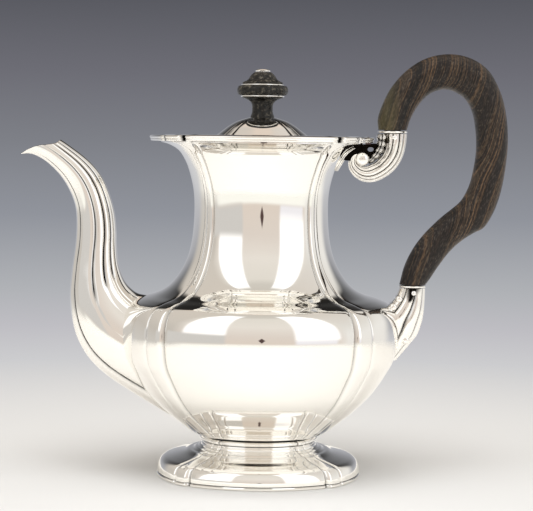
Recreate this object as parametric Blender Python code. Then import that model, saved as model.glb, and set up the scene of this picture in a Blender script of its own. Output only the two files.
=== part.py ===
"""Silver coffee pot with a wooden handle, a wooden finial and a hinged lid.

Frame: origin on the body's axis at the foot's base, +Z up, the spout towards -X and the
handle towards +X.  Every number below is in millimetres and degrees until MM turns it
into metres.  The pot is four-sided: four wide panels face -X, +X, -Y and +Y, and a narrow
rib runs down each corner between two grooves.
"""
import math

import bmesh
import bpy
from mathutils import Vector

MM = 0.001

# Plan of the body, the rim, the lid and the foot
GROOVE_AT = 38.7        # degrees from a panel's centre to the groove beside it
GROOVE_HALF = 1.6       # degrees from a groove's bottom to its lip
GROOVE_DEPTH = 0.018    # share of the radius
RIB_RISE = 0.012        # how far a corner rib stands past the grooves' lips
PANEL_STEPS = (0.0, 14.0, 27.0, GROOVE_AT - GROOVE_HALF)

# Fits
GAP = 0.3               # between soldered neighbours
WALL = 1.0              # sheet silver
DRILL_PAST = 2.0        # how far a drill runs past the piece it pierces
SHARP_ANGLE = 35.0      # edges sharper than this are drawn crisp

# Body: radius at a panel's centre, height, and the grooves' radius over the panel's
BODY_BOTTOM_Z = 15.35
BODY_ROWS = [
    (21.6, 15.35, 1.03), (25.5, 16.6, 1.03), (30.6, 20.3, 1.03), (35.5, 24.2, 1.03),
    (40.1, 28.5, 1.03), (43.6, 32.4, 1.03), (48.6, 40.0, 1.03), (51.2, 45.0, 1.03),
    (52.5, 52.0, 1.03), (52.3, 58.0, 1.03), (51.0, 62.5, 1.03), (48.9, 65.4, 1.03),
    (45.4, 67.0, 1.03), (39.6, 68.8, 1.035), (35.2, 71.3, 1.035), (31.4, 75.6, 1.035),
    (28.2, 81.5, 1.035), (26.3, 88.5, 1.035), (25.4, 98.0, 1.035), (25.8, 108.0, 1.04),
    (27.6, 115.6, 1.045), (29.2, 119.4, 1.05), (31.6, 122.9, 1.06), (35.0, 125.0, 1.07),
    (38.2, 125.95, 1.08),
]
LIP_TOP_Z = 126.35
FLOOR_INSET = 2.0       # from the lining's lowest row to the floor's flat
STRAINER_HOLE_R = 1.3
STRAINER_HOLE_SIDES = 8
STRAINER_PITCH = 5.0
STRAINER_CENTRE_Z = 47.0
STRAINER_DRILL_X = (-58.0, -42.0)

# Rim, lid and hinge
RIM_SECTION = [
    (38.5, 126.6), (38.5, 128.1), (38.9, 128.5), (41.6, 128.5),
    (42.3, 128.1), (42.5, 127.4), (42.2, 126.7), (41.4, 126.4),
]
RIM_SPREAD = 1.08
LID_ROWS = [
    (1.6, 135.95, 1.0), (3.8, 135.75, 1.0), (6.4, 135.1, 1.02), (9.6, 134.0, 1.03),
    (12.7, 132.2, 1.03), (15.1, 130.4, 1.03), (17.2, 129.0, 1.035), (20.5, 128.6, 1.04),
    (29.0, 128.8, 1.06), (36.5, 128.7, 1.08), (38.1, 128.2, 1.08), (38.1, 127.4, 1.08),
]
LID_WALL = 0.85
LID_EDGE = [(36.9, 127.4, 1.08), (35.9, 127.8, 1.08)]
LID_LINING = (8, 6, 5, 3, 1)    # rows of the lid's outside that its lining follows
LID_HOLE = (1.6, 135.05, 1.0)   # the lining's row at the finial's hole
BEZEL_R = 29.4
BEZEL_Z = (123.4, 127.5)
BEZEL_WALL = 0.8
BEZEL_SIDES = 32
HINGE_X = 39.6
HINGE_Z = 127.8
HINGE_HALF = 9.2
HINGE_ORIGIN = (HINGE_X, 0.0, HINGE_Z)
HINGE_BORE_HALF = 12.0
KNUCKLE_R = 0.9
KNUCKLE_SIDES = 10
PIN_R = 0.42
PIN_HOLE_R = 0.5
PIN_PAST = 0.2          # how far the pin stands past the knuckles
LID_KNUCKLE_HALF = 2.8
LEAF_STEP = 0.3         # gap between the lid's knuckle and the body's
LID_KNUCKLE_SPACE_X = (36.0, 42.0)
LID_KNUCKLE_SPACE_Z = (126.4, 130.0)
BODY_LEAF_START = [(38.6, 125.95), (40.6, 125.95), (40.6, 126.45), (40.2, 126.45)]
BODY_LEAF_END = [(39.0, 126.45), (38.6, 126.45)]
BODY_KNUCKLE_TURN = (-50.0, 230.0)
LID_LEAF_START = [(36.2, 126.75), (HINGE_X, 126.75)]
LID_LEAF_END = [(36.2, 127.1)]
LID_KNUCKLE_TURN = (-60.0, 230.0)
POCKET_X = (36.9, 40.9)
POCKET_Z = (125.0, 130.0)
POCKET_HALF = 9.8

# Finial: three turned pieces of wood with a thin silver disc between each two
FINIAL_HOLE_R = 1.35
FINIAL_SIDES = 20
FINIAL_ROWS = {
    "finial_stem": [(4.1, 136.1), (4.0, 137.6), (4.0, 140.6), (5.6, 142.3), (7.7, 142.9), (7.7, 143.3)],
    "finial_lower_disc": [(8.1, 143.45), (8.1, 143.8)],
    "finial_bead": [(8.9, 143.95), (9.6, 144.8), (9.7, 145.7), (9.6, 146.6), (8.9, 147.45)],
    "finial_upper_disc": [(7.9, 147.6), (7.9, 147.95)],
    "finial_crown": [(7.7, 148.1), (7.7, 148.6), (5.4, 149.9), (4.6, 151.3), (3.1, 152.6)],
}
BOLT_SIDES = 12
WASHER_SIDES = 16
BOLT_ROWS = [(1.2, 130.9), (1.2, 152.75), (2.8, 152.85), (2.6, 153.5), (1.4, 153.85)]
WASHER_ROWS = [(1.4, 134.1), (1.4, 134.7), (4.4, 134.0), (4.4, 133.4)]
NUT_Z = (131.6, 133.2)
NUT_R = 2.6
NUT_HOLE_R = 1.5
NUT_SIDES = 6

# Foot
FOOT_ROWS = [
    (38.5, 1.45, 1.04), (38.4, 3.4, 1.04), (37.5, 5.6, 1.04), (36.2, 6.6, 1.04),
    (33.0, 7.6, 1.04), (28.5, 8.8, 1.035), (24.9, 9.8, 1.03), (22.9, 10.7, 1.03),
    (21.2, 11.7, 1.03), (21.6, 13.1, 1.03),
]
FOOT_WALL = 1.2
FOOT_LINING = (0, 2, 4, 6, 7, 9)   # rows of the foot's outside that its lining follows
BASE_WIRE_SECTION = [(36.6, 0.0), (38.6, 0.0), (38.7, 1.1), (36.9, 1.15)]
BASE_WIRE_SPREAD = 1.04
COLLAR_SECTION = [(19.6, 13.45), (21.9, 13.45), (22.5, 14.2), (22.1, 15.0), (19.6, 15.05)]
COLLAR_SPREAD = 1.03

# Spout: the outer (front) edge, the inner (back) edge, and the half width across Y
SPOUT_STATIONS = [
    ((-30.0, 20.0), (-34.0, 64.0), 11.0), ((-41.6, 26.9), (-41.0, 66.9), 12.4),
    ((-50.0, 32.0), (-46.5, 68.0), 12.6), ((-58.0, 37.3), (-49.6, 70.2), 12.0),
    ((-64.3, 43.2), (-51.5, 72.5), 11.2), ((-68.9, 50.6), (-52.9, 75.4), 10.2),
    ((-71.3, 58.5), (-54.0, 79.0), 9.2), ((-72.2, 67.5), (-54.6, 83.2), 8.2),
    ((-71.5, 77.0), (-54.9, 88.0), 7.4), ((-70.2, 87.0), (-55.0, 92.3), 6.9),
    ((-69.8, 95.2), (-55.8, 99.4), 6.6), ((-70.4, 101.4), (-57.8, 106.3), 6.4),
    ((-72.4, 106.9), (-60.6, 112.5), 6.2), ((-75.6, 112.2), (-65.0, 117.9), 6.0),
    ((-80.0, 116.8), (-71.6, 123.2), 5.6), ((-84.0, 119.6), (-78.8, 127.6), 4.9),
    ((-87.8, 121.0), (-85.8, 129.0), 3.5), ((-91.3, 120.8), (-91.0, 129.0), 1.0),
]
SPOUT_ANGLES = (0.0, 20.0, 39.0, 65.0, 92.0, 121.0, 144.0, 163.0)
SPOUT_GROOVES = (39.0, 92.0, 121.0, 144.0)
SPOUT_GROOVE_DEPTH = 0.045
SPOUT_WALL = 1.0
CHANNEL_SIDES = 12
MOUTH_CUT_HALF = 15.0
MOUTH_CUT = [
    (-94.0, 119.6), (-91.0, 120.9), (-87.8, 122.6), (-84.8, 123.7), (-80.2, 124.3),
    (-77.0, 125.0), (-75.9, 126.6), (-75.0, 133.0), (-94.0, 133.0),
]

# Handle: outer edge, inner edge, and half the depth across Y
HANDLE_STATIONS = [
    ((46.1, 125.8), (52.5, 125.8), 3.2), ((46.1, 131.3), (52.5, 131.3), 3.2),
    ((43.9, 131.4), (54.7, 131.4), 5.5), ((43.6, 135.5), (55.6, 134.6), 6.0),
    ((45.3, 141.0), (57.3, 138.3), 6.3), ((48.6, 147.5), (59.3, 141.4), 6.5),
    ((53.9, 153.6), (62.0, 144.3), 6.6), ((61.0, 158.3), (65.2, 146.2), 6.8),
    ((69.5, 160.2), (69.4, 146.9), 7.0), ((77.6, 159.0), (73.4, 145.6), 7.1),
    ((84.6, 154.7), (76.9, 142.9), 7.1), ((89.4, 146.9), (79.4, 138.0), 7.0),
    ((92.0, 138.0), (80.6, 132.0), 6.8), ((92.9, 127.5), (81.0, 124.5), 6.6),
    ((92.1, 117.0), (80.2, 117.5), 6.4), ((90.3, 107.3), (78.5, 110.5), 6.3),
    ((87.6, 99.9), (75.6, 105.0), 6.2), ((84.2, 94.7), (71.9, 101.6), 6.1),
    ((81.0, 93.0), (69.4, 99.6), 6.0), ((76.2, 89.9), (66.2, 96.7), 5.9),
    ((71.6, 85.6), (61.6, 91.9), 5.8), ((67.3, 79.8), (57.4, 86.0), 5.6),
    ((64.4, 75.3), (54.4, 79.4), 5.3), ((62.7, 72.95), (52.8, 72.95), 4.9),
    ((60.9, 72.85), (54.6, 72.85), 3.2), ((60.9, 67.4), (54.6, 67.4), 3.2),
]
HANDLE_SIDES = 12

# Sockets that hold the handle's two tenons
SOCKET_SIDES = 12
TENON_CLEAR_R = 3.5
TENON_BORE_SIDES = 12
UPPER_TENON_X = 49.3
LOWER_TENON_X = 57.75
UPPER_SOCKET_STATIONS = [
    ((54.6, 129.95), (44.0, 129.95), 5.3), ((54.3, 126.6), (44.6, 126.6), 5.1),
    ((53.7, 123.2), (44.9, 124.4), 4.8), ((52.4, 119.8), (43.6, 122.2), 4.6),
    ((50.3, 116.7), (41.9, 120.6), 4.5), ((47.0, 113.9), (40.4, 119.9), 4.3),
    ((42.9, 112.0), (39.0, 119.6), 4.1), ((38.6, 111.9), (38.2, 119.2), 3.9),
    ((35.0, 113.9), (37.6, 119.4), 3.6), ((32.9, 117.1), (37.2, 120.0), 3.2),
    ((32.7, 120.2), (37.0, 121.2), 2.8),
]
VOLUTE_X = 37.7
VOLUTE_Z = 119.9
VOLUTE_R = 2.5
VOLUTE_HALF = 4.6
VOLUTE_SIDES = 14
BRACKET_OUTLINE = [
    (24.0, 116.2), (31.0, 116.8), (33.6, 119.0), (36.0, 122.6), (40.0, 123.6),
    (46.0, 123.4), (46.5, 125.8), (40.0, 125.9), (24.0, 125.9),
]
BRACKET_HALF = 2.2
UPPER_BORE_Z = (125.4, 135.0)
LOWER_SOCKET_STATIONS = [
    ((62.5, 71.65), (53.0, 71.65), 4.8), ((62.4, 67.5), (51.6, 68.0), 4.7),
    ((62.0, 62.6), (48.8, 64.6), 4.9), ((60.9, 57.8), (45.5, 61.5), 5.0),
    ((59.3, 53.6), (44.5, 57.5), 4.5), ((57.0, 50.6), (44.0, 53.5), 3.6),
    ((54.3, 47.2), (43.5, 49.5), 2.6), ((51.6, 43.9), (43.0, 46.0), 1.4),
]
LOWER_BORE_Z = (67.0, 80.0)
FERRULES = {             # centre x, bottom z, top z, radius
    "upper_ferrule": (UPPER_TENON_X, 130.2, 131.1, 5.6),
    "lower_ferrule": (LOWER_TENON_X, 71.9, 72.65, 5.15),
}
FERRULE_SIDES = 16
UPPER_PIN = (49.9, 128.6, 5.9)   # centre x, z, half length
LOWER_PIN = (58.0, 70.0, 5.4)
HANDLE_PIN_R = 0.9
HANDLE_PIN_HOLE_R = 1.0

# Finishes: name, colour, roughness, metal
SILVER = ("silver", (0.93, 0.91, 0.87), 0.08, 1.0)
DARK_WOOD = ("dark_wood", (0.11, 0.07, 0.05), 0.4, 0.0)


def clear_scene():
    for thing in list(bpy.data.objects):
        bpy.data.objects.remove(thing, do_unlink=True)


def material(finish):
    name, colour, roughness, metallic = finish
    made = bpy.data.materials.get(name)
    if made:
        return made
    made = bpy.data.materials.new(name)
    made.use_nodes = True
    shader = made.node_tree.nodes["Principled BSDF"]
    shader.inputs["Base Color"].default_value = (*colour, 1.0)
    shader.inputs["Roughness"].default_value = roughness
    shader.inputs["Metallic"].default_value = metallic
    return made


def link(name, mesh, finish, parent=None):
    """Make a named node from a mesh and give it its own material."""
    node = bpy.data.objects.new(name, mesh)
    bpy.context.scene.collection.objects.link(node)
    own = material(finish).copy()
    own.name = name
    mesh.materials.append(own)
    mesh.shade_smooth()
    mesh.set_sharp_from_angle(angle=math.radians(SHARP_ANGLE))
    if parent:
        node.parent = parent
    return node


def guide(node):
    """Mark an object as a cutter or a tool that is not part of the pot."""
    node.hide_render = True
    node.display_type = "WIRE"
    return node


def combine(node, tool, operation):
    step = node.modifiers.new(operation.lower(), "BOOLEAN")
    step.operation = operation
    step.solver = "EXACT"
    step.object = guide(tool)
    return node


def cut(node, tool):
    return combine(node, tool, "DIFFERENCE")


def fuse(node, tool):
    return combine(node, tool, "UNION")


def mesh_from_rings(name, rings, closed=False, origin=(0.0, 0.0, 0.0)):
    """Bridge rings of points (mm) into one closed body; open ends are filled with fans."""
    build = bmesh.new()
    shift = Vector(origin)
    loops = []
    for ring in rings:
        loops.append([build.verts.new((Vector(point) - shift) * MM) for point in ring])
    pairs = list(zip(loops, loops[1:]))
    if closed:
        pairs.append((loops[-1], loops[0]))
    for low, high in pairs:
        count = len(low)
        for index in range(count):
            after = (index + 1) % count
            build.faces.new((low[index], low[after], high[after], high[index]))
    if not closed:
        for loop in (list(reversed(loops[0])), loops[-1]):
            middle = sum((vert.co for vert in loop), Vector()) / len(loop)
            centre = build.verts.new(middle)
            for index, vert in enumerate(loop):
                build.faces.new((vert, loop[(index + 1) % len(loop)], centre))
    if build.calc_volume(signed=True) < 0.0:
        bmesh.ops.reverse_faces(build, faces=build.faces)
    mesh = bpy.data.meshes.new(name)
    build.to_mesh(mesh)
    build.free()
    return mesh


def quarter_angles():
    """Angles within one quarter, from one panel's centre to the next."""
    rising = list(PANEL_STEPS) + [GROOVE_AT, GROOVE_AT + GROOVE_HALF, 45.0]
    falling = [90.0 - angle for angle in reversed(rising[1:-1])]
    return rising + falling


def plan_radius(angle, spread):
    """The plan's radius over its radius at a panel's centre."""
    off = abs((angle + 45.0) % 90.0 - 45.0)
    groove = 1.0 - abs(off - GROOVE_AT) / GROOVE_HALF
    share = min(off / GROOVE_AT, 1.0)
    radius = 1.0 + (spread - 1.0) * share ** 2
    if off > GROOVE_AT:
        radius += RIB_RISE * math.sin(math.pi * (off - GROOVE_AT) / (90.0 - 2.0 * GROOVE_AT))
    depth = GROOVE_DEPTH * min(1.0, (spread - 1.0) / 0.02)
    return radius - depth * max(groove, 0.0)


def lobed_ring(radius, height, spread):
    ring = []
    for quarter in range(4):
        for step in quarter_angles():
            angle = 90.0 * quarter + step
            reach = radius * plan_radius(angle, spread)
            turn = math.radians(angle)
            ring.append((reach * math.cos(turn), reach * math.sin(turn), height))
    return ring


def offset_rows(rows, wall):
    """Move a run of (radius, height, spread) rows inward along its own normal."""
    moved = []
    for index, (radius, height, spread) in enumerate(rows):
        before = rows[max(index - 1, 0)]
        after = rows[min(index + 1, len(rows) - 1)]
        along = Vector((after[0] - before[0], after[1] - before[1])).normalized()
        moved.append((radius - along.y * wall, height + along.x * wall, spread))
    return moved


def lobed_shell(name, rows, closed):
    return mesh_from_rings(name, [lobed_ring(*row) for row in rows], closed)


def lobed_band(name, section, spread):
    rows = [(radius, height, spread) for radius, height in section]
    return lobed_shell(name, rows, closed=True)


def circle(radius, sides):
    points = []
    for index in range(sides):
        turn = 2.0 * math.pi * index / sides
        points.append((radius * math.cos(turn), radius * math.sin(turn)))
    return points


def turned(name, rows, sides, closed, origin=(0.0, 0.0, 0.0), centre_x=0.0):
    rings = []
    for radius, height in rows:
        rings.append([(centre_x + x, y, height) for x, y in circle(radius, sides)])
    return mesh_from_rings(name, rings, closed, origin)


def rod_along_y(name, x, z, radius, y_from, y_to, sides=12, origin=(0.0, 0.0, 0.0)):
    rings = []
    for y in (y_from, y_to):
        ring = []
        for index in range(sides):
            turn = 2.0 * math.pi * (index + 0.5) / sides
            ring.append((x + radius * math.cos(turn), y, z + radius * math.sin(turn)))
        rings.append(ring)
    return mesh_from_rings(name, rings, origin=origin)


def box_mesh(name, low, high, origin=(0.0, 0.0, 0.0)):
    rings = []
    for z in (low[2], high[2]):
        rings.append([(low[0], low[1], z), (high[0], low[1], z),
                      (high[0], high[1], z), (low[0], high[1], z)])
    return mesh_from_rings(name, rings, origin=origin)


def extruded_outline(name, outline, half, origin=(0.0, 0.0, 0.0)):
    """A closed outline in X and Z, drawn out along Y and capped with one flat face each end."""
    build = bmesh.new()
    shift = Vector(origin)
    ends = []
    for y in (-half, half):
        ends.append([build.verts.new((Vector((x, y, z)) - shift) * MM) for x, z in outline])
    near, far = ends
    for index in range(len(outline)):
        after = (index + 1) % len(outline)
        build.faces.new((near[index], near[after], far[after], far[index]))
    build.faces.new(near)
    build.faces.new(far)
    bmesh.ops.recalc_face_normals(build, faces=build.faces)
    mesh = bpy.data.meshes.new(name)
    build.to_mesh(mesh)
    build.free()
    return mesh


def oval_section(station, sides, notch=None, wall=0.0):
    """An oval across the plane that joins a station's two edge points."""
    (outer_x, outer_z), (inner_x, inner_z), half = station
    centre = Vector(((outer_x + inner_x) / 2.0, 0.0, (outer_z + inner_z) / 2.0))
    reach = Vector((outer_x, 0.0, outer_z)) - centre
    reach = reach * max(1.0 - wall / reach.length, 0.15)
    half = max(half - wall, 0.5)
    ring = []
    for angle in sides:
        turn = math.radians(angle)
        scale = 1.0 - (notch(angle) if notch else 0.0)
        point = centre + reach * math.cos(turn) * scale
        point.y = half * math.sin(turn) * scale
        ring.append(tuple(point))
    return ring


def even_sides(count):
    return [360.0 * index / count for index in range(count)]


def spout_sides():
    near = list(SPOUT_ANGLES)
    return near + [180.0] + [360.0 - angle for angle in reversed(near[1:])]


def spout_notch(angle):
    off = min(angle, 360.0 - angle)
    return SPOUT_GROOVE_DEPTH if off in SPOUT_GROOVES else 0.0


def body_blank(name):
    """The body's outside as a solid, one gap larger, for cutting its neighbours."""
    rows = offset_rows(BODY_ROWS, -GAP)
    rows[0] = (BODY_ROWS[0][0] + GAP, BODY_BOTTOM_Z - GAP, BODY_ROWS[0][2])
    lip_radius, _, lip_spread = BODY_ROWS[-1]
    rows[-1] = (lip_radius + GAP, rows[-1][1], lip_spread)
    rows.append((lip_radius + GAP, LIP_TOP_Z + GAP, lip_spread))
    return guide(link(name, lobed_shell(name, rows, closed=False), SILVER))


def make_body():
    lining = offset_rows(BODY_ROWS, WALL)
    inside = [lining[1]] + lining[2:-1:2] + [lining[-2]]
    floor = (lining[1][0] - FLOOR_INSET, BODY_BOTTOM_Z + WALL, lining[1][2])
    lip = (BODY_ROWS[-1][0], LIP_TOP_Z, BODY_ROWS[-1][2])
    rows = BODY_ROWS + [lip] + list(reversed(inside)) + [floor]
    body = link("body_shell", lobed_shell("body_shell", rows, closed=False), SILVER)
    for row in (-1, 0, 1):
        for column in (-1, 0, 1):
            across = column * STRAINER_PITCH
            height = STRAINER_CENTRE_Z + row * STRAINER_PITCH
            drill_hole(body, across, height)


def drill_hole(body, y, z):
    """Pierce one strainer hole through the body's wall, inside the spout's root."""
    rings = []
    for x in STRAINER_DRILL_X:
        ring = circle(STRAINER_HOLE_R, STRAINER_HOLE_SIDES)
        rings.append([(x, y + across, z + up) for across, up in ring])
    name = "strainer_drill"
    cut(body, link(name, mesh_from_rings(name, rings), SILVER))


def make_rim():
    rim = link("rim_moulding", lobed_band("rim_moulding", RIM_SECTION, RIM_SPREAD), SILVER)
    pocket = box_mesh("hinge_pocket", (POCKET_X[0], -POCKET_HALF, POCKET_Z[0]),
                      (POCKET_X[1], POCKET_HALF, POCKET_Z[1]))
    cut(rim, link("hinge_pocket", pocket, SILVER))


def make_foot():
    outside = list(reversed(FOOT_ROWS))
    lining = offset_rows(FOOT_ROWS, FOOT_WALL)
    lining[0] = (lining[0][0], FOOT_ROWS[0][1], lining[0][2])
    lining[-1] = (lining[-1][0], FOOT_ROWS[-1][1], lining[-1][2])
    inside = [lining[index] for index in FOOT_LINING]
    foot = lobed_shell("foot", outside + inside, closed=True)
    link("foot", foot, SILVER)
    wire = lobed_band("foot_base_wire", BASE_WIRE_SECTION, BASE_WIRE_SPREAD)
    link("foot_base_wire", wire, SILVER)
    collar = lobed_band("foot_collar", COLLAR_SECTION, COLLAR_SPREAD)
    link("foot_collar", collar, SILVER)


def make_spout():
    sides = spout_sides()
    outer = [oval_section(station, sides, spout_notch) for station in SPOUT_STATIONS]
    spout = link("spout", mesh_from_rings("spout", outer), SILVER)
    mouth = extruded_outline("mouth_cutter", MOUTH_CUT, MOUTH_CUT_HALF)
    cut(spout, link("mouth_cutter", mouth, SILVER))
    inner = [oval_section(station, even_sides(CHANNEL_SIDES), wall=SPOUT_WALL)
             for station in SPOUT_STATIONS[:-1]]
    cut(spout, link("spout_channel", mesh_from_rings("spout_channel", inner), SILVER))
    cut(spout, body_blank("body_blank_spout"))


def make_handle():
    rings = [oval_section(station, even_sides(HANDLE_SIDES)) for station in HANDLE_STATIONS]
    handle = link("handle", mesh_from_rings("handle", rings), DARK_WOOD)
    drill_pin(handle, UPPER_PIN)
    drill_pin(handle, LOWER_PIN)


def make_handle_pins():
    for name, (x, z, half) in (("upper_handle_pin", UPPER_PIN), ("lower_handle_pin", LOWER_PIN)):
        link(name, rod_along_y(name, x, z, HANDLE_PIN_R, -half, half), SILVER)


def tenon_bore(name, x, heights):
    rows = [(TENON_CLEAR_R, z) for z in heights]
    return link(name, turned(name, rows, TENON_BORE_SIDES, False, centre_x=x), SILVER)


def drill_pin(node, pin):
    x, z, half = pin
    reach = half + DRILL_PAST
    hole = rod_along_y("pin_drill", x, z, HANDLE_PIN_HOLE_R, -reach, reach)
    cut(node, link("pin_drill", hole, SILVER))


def make_upper_socket():
    rings = [oval_section(station, even_sides(SOCKET_SIDES)) for station in UPPER_SOCKET_STATIONS]
    socket = link("upper_socket", mesh_from_rings("upper_socket", rings), SILVER)
    volute = rod_along_y("volute", VOLUTE_X, VOLUTE_Z, VOLUTE_R, -VOLUTE_HALF, VOLUTE_HALF,
                         VOLUTE_SIDES)
    fuse(socket, link("volute", volute, SILVER))
    bracket = extruded_outline("bracket", BRACKET_OUTLINE, BRACKET_HALF)
    fuse(socket, link("bracket", bracket, SILVER))
    cut(socket, body_blank("body_blank_socket"))
    cut(socket, tenon_bore("upper_bore", UPPER_TENON_X, UPPER_BORE_Z))
    drill_pin(socket, UPPER_PIN)


def make_lower_socket():
    rings = [oval_section(station, even_sides(SOCKET_SIDES)) for station in LOWER_SOCKET_STATIONS]
    socket = link("lower_socket", mesh_from_rings("lower_socket", rings), SILVER)
    cut(socket, tenon_bore("lower_bore", LOWER_TENON_X, LOWER_BORE_Z))
    drill_pin(socket, LOWER_PIN)
    cut(socket, body_blank("body_blank_lower"))


def make_ferrules():
    for name, (x, low, high, radius) in FERRULES.items():
        rows = [(TENON_CLEAR_R, low), (radius, low), (radius, high), (TENON_CLEAR_R, high)]
        link(name, turned(name, rows, FERRULE_SIDES, True, centre_x=x), SILVER)


def knuckle_arc(start, stop):
    """Points of a knuckle's round outline between two angles in degrees."""
    points = []
    for index in range(KNUCKLE_SIDES + 1):
        turn = math.radians(start + (stop - start) * index / KNUCKLE_SIDES)
        points.append((HINGE_X + KNUCKLE_R * math.cos(turn), HINGE_Z + KNUCKLE_R * math.sin(turn)))
    return points


def bore_knuckles(leaf):
    bore = rod_along_y("hinge_bore", HINGE_X, HINGE_Z, PIN_HOLE_R, -HINGE_BORE_HALF,
                       HINGE_BORE_HALF)
    cut(leaf, link("hinge_bore", bore, SILVER))


def make_body_hinge():
    """The strip and the two outer knuckles that are soldered into the rim's pocket."""
    outline = BODY_LEAF_START + knuckle_arc(*BODY_KNUCKLE_TURN) + BODY_LEAF_END
    leaf = link("body_hinge_leaf", extruded_outline("body_hinge_leaf", outline, HINGE_HALF), SILVER)
    middle = LID_KNUCKLE_HALF + LEAF_STEP
    low_corner = (LID_KNUCKLE_SPACE_X[0], -middle, LID_KNUCKLE_SPACE_Z[0])
    high_corner = (LID_KNUCKLE_SPACE_X[1], middle, LID_KNUCKLE_SPACE_Z[1])
    space = box_mesh("lid_knuckle_space", low_corner, high_corner)
    cut(leaf, link("lid_knuckle_space", space, SILVER))
    bore_knuckles(leaf)
    reach = HINGE_HALF + PIN_PAST
    pin = rod_along_y("hinge_pin", HINGE_X, HINGE_Z, PIN_R, -reach, reach)
    link("hinge_pin", pin, SILVER)


def hinge_axis():
    """The empty that the lid's pieces hang on, on the hinge's axis."""
    axis = bpy.data.objects.new("lid_axis", None)
    axis.location = Vector(HINGE_ORIGIN) * MM
    bpy.context.scene.collection.objects.link(axis)
    return axis


def make_lid(axis):
    lining = offset_rows(LID_ROWS, -LID_WALL)
    under = [lining[index] for index in LID_LINING]
    rings = [lobed_ring(*row) for row in LID_ROWS + LID_EDGE + under + [LID_HOLE]]
    link("lid", mesh_from_rings("lid", rings, True, HINGE_ORIGIN), SILVER, axis)
    low, high = BEZEL_Z
    inside = BEZEL_R - BEZEL_WALL
    rows = [(inside, low), (BEZEL_R, low), (BEZEL_R, high), (inside, high)]
    link("lid_bezel", turned("lid_bezel", rows, BEZEL_SIDES, True, HINGE_ORIGIN), SILVER, axis)


def make_lid_leaf(axis):
    """The lid's middle knuckle and the short plate that is soldered under the lid's edge."""
    outline = LID_LEAF_START + knuckle_arc(*LID_KNUCKLE_TURN) + LID_LEAF_END
    mesh = extruded_outline("lid_hinge_leaf", outline, LID_KNUCKLE_HALF, HINGE_ORIGIN)
    leaf = link("lid_hinge_leaf", mesh, SILVER, axis)
    bore_knuckles(leaf)


def make_finial(axis):
    for name, outside in FINIAL_ROWS.items():
        rows = [(FINIAL_HOLE_R, outside[0][1])] + outside + [(FINIAL_HOLE_R, outside[-1][1])]
        finish = SILVER if name.endswith("disc") else DARK_WOOD
        link(name, turned(name, rows, FINIAL_SIDES, True, HINGE_ORIGIN), finish, axis)
    low, high = NUT_Z
    nut_rows = [(NUT_HOLE_R, low), (NUT_R, low), (NUT_R, high), (NUT_HOLE_R, high)]
    for name, rows, sides, closed in (("finial_bolt", BOLT_ROWS, BOLT_SIDES, False),
                                      ("finial_washer", WASHER_ROWS, WASHER_SIDES, True),
                                      ("finial_nut", nut_rows, NUT_SIDES, True)):
        link(name, turned(name, rows, sides, closed, HINGE_ORIGIN), SILVER, axis)


def build():
    clear_scene()
    make_body()
    make_rim()
    make_foot()
    make_spout()
    make_upper_socket()
    make_lower_socket()
    make_ferrules()
    make_handle()
    make_handle_pins()
    make_body_hinge()
    axis = hinge_axis()
    make_lid(axis)
    make_lid_leaf(axis)
    make_finial(axis)


build()
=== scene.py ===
"""Looks of the silver coffee pot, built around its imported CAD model.

Frame: origin on the body's axis at the foot's base, +Z up, spout towards -X, handle towards
+X.  Shapes are worked out in millimetres and turned into metres by MM when a mesh is made.
"""

import math

import bpy
import numpy as np
from mathutils import Matrix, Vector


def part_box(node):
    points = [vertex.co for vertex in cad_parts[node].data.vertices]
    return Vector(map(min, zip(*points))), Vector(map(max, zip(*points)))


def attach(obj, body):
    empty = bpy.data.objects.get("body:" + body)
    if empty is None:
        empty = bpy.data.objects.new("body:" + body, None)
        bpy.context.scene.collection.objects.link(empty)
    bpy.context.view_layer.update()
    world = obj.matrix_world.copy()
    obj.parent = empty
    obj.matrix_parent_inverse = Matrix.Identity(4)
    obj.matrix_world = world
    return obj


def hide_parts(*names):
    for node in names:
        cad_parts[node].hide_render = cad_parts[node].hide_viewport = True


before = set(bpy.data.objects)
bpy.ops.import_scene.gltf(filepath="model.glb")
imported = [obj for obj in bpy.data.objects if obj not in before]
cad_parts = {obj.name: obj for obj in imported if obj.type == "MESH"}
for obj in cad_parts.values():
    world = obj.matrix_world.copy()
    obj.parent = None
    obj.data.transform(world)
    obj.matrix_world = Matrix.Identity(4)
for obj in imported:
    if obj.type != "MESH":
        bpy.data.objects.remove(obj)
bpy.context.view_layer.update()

MM = 0.001
ALONG_X = (2, 0, 1)      # orders of columns that lay a turned shape along X or Y
ALONG_Y = (0, 2, 1)

# Plan of the lobed pieces: four panels and a rib between two grooves at each corner
GROOVE_PATH = [          # height, degrees from a panel's centre to its groove
    (0.0, 39.6), (62.0, 40.1), (70.0, 40.4), (80.0, 41.0), (104.0, 41.2), (116.0, 42.0),
    (122.0, 41.5), (126.4, 38.7), (200.0, 38.7),
]
GROOVE_SOFT = 2.1        # degrees over which a groove's lips roll over
GROOVE_DEPTH = 0.015     # share of the radius
RIB_RISE = 0.016

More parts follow.
